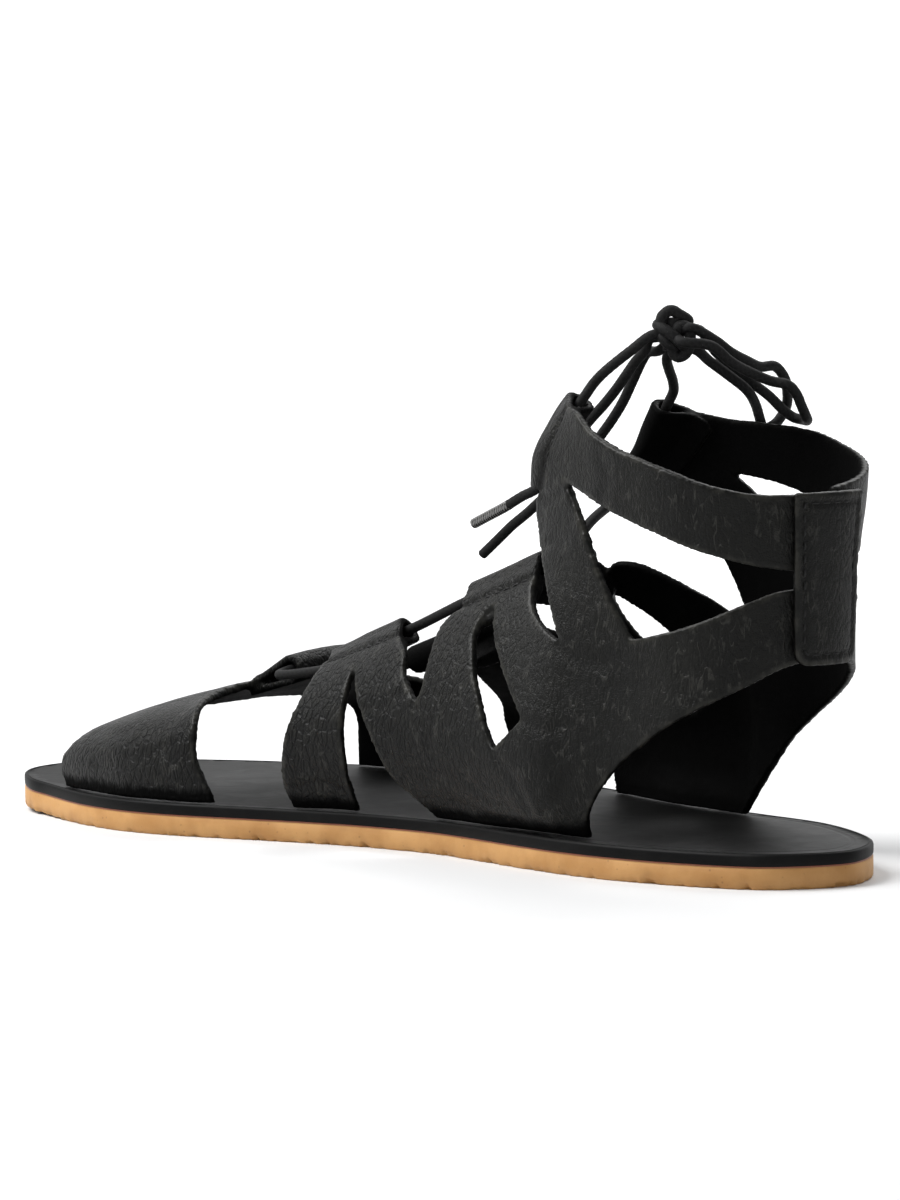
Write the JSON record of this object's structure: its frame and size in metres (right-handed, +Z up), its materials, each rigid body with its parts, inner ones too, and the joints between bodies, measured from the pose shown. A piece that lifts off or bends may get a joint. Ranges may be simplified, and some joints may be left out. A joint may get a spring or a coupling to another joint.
{
  "type": "barefoot sandal",
  "caption": "Flat lace-up barefoot sandal for the right foot: gum sole, black insole, toe strap, strap sides with lace loops, ankle cuff and a bow.",
  "frame": {"origin": "on the floor under the middle of the sole", "axes": "+X towards the toes, +Y towards the inner ankle, +Z up"},
  "size_m": [0.2539, 0.0968, 0.1223],
  "materials": {
    "upper_leather": "satin",
    "insole_leather": "satin",
    "gum_rubber": "matte",
    "lace_cord": "matte"
  },
  "bodies": {
    "root": {"outsole": "gum_rubber", "insole": "insole_leather", "toe_strap": "upper_leather", "quarter_medial": "upper_leather", "quarter_lateral": "upper_leather", "heel_strip": "upper_leather", "lace": "lace_cord", "lace_knot": "lace_cord", "bow_loop_upper": "lace_cord", "bow_loop_lower": "lace_cord", "lace_end_long": "lace_cord", "lace_end_short": "lace_cord"}
  },
  "joints": []
}
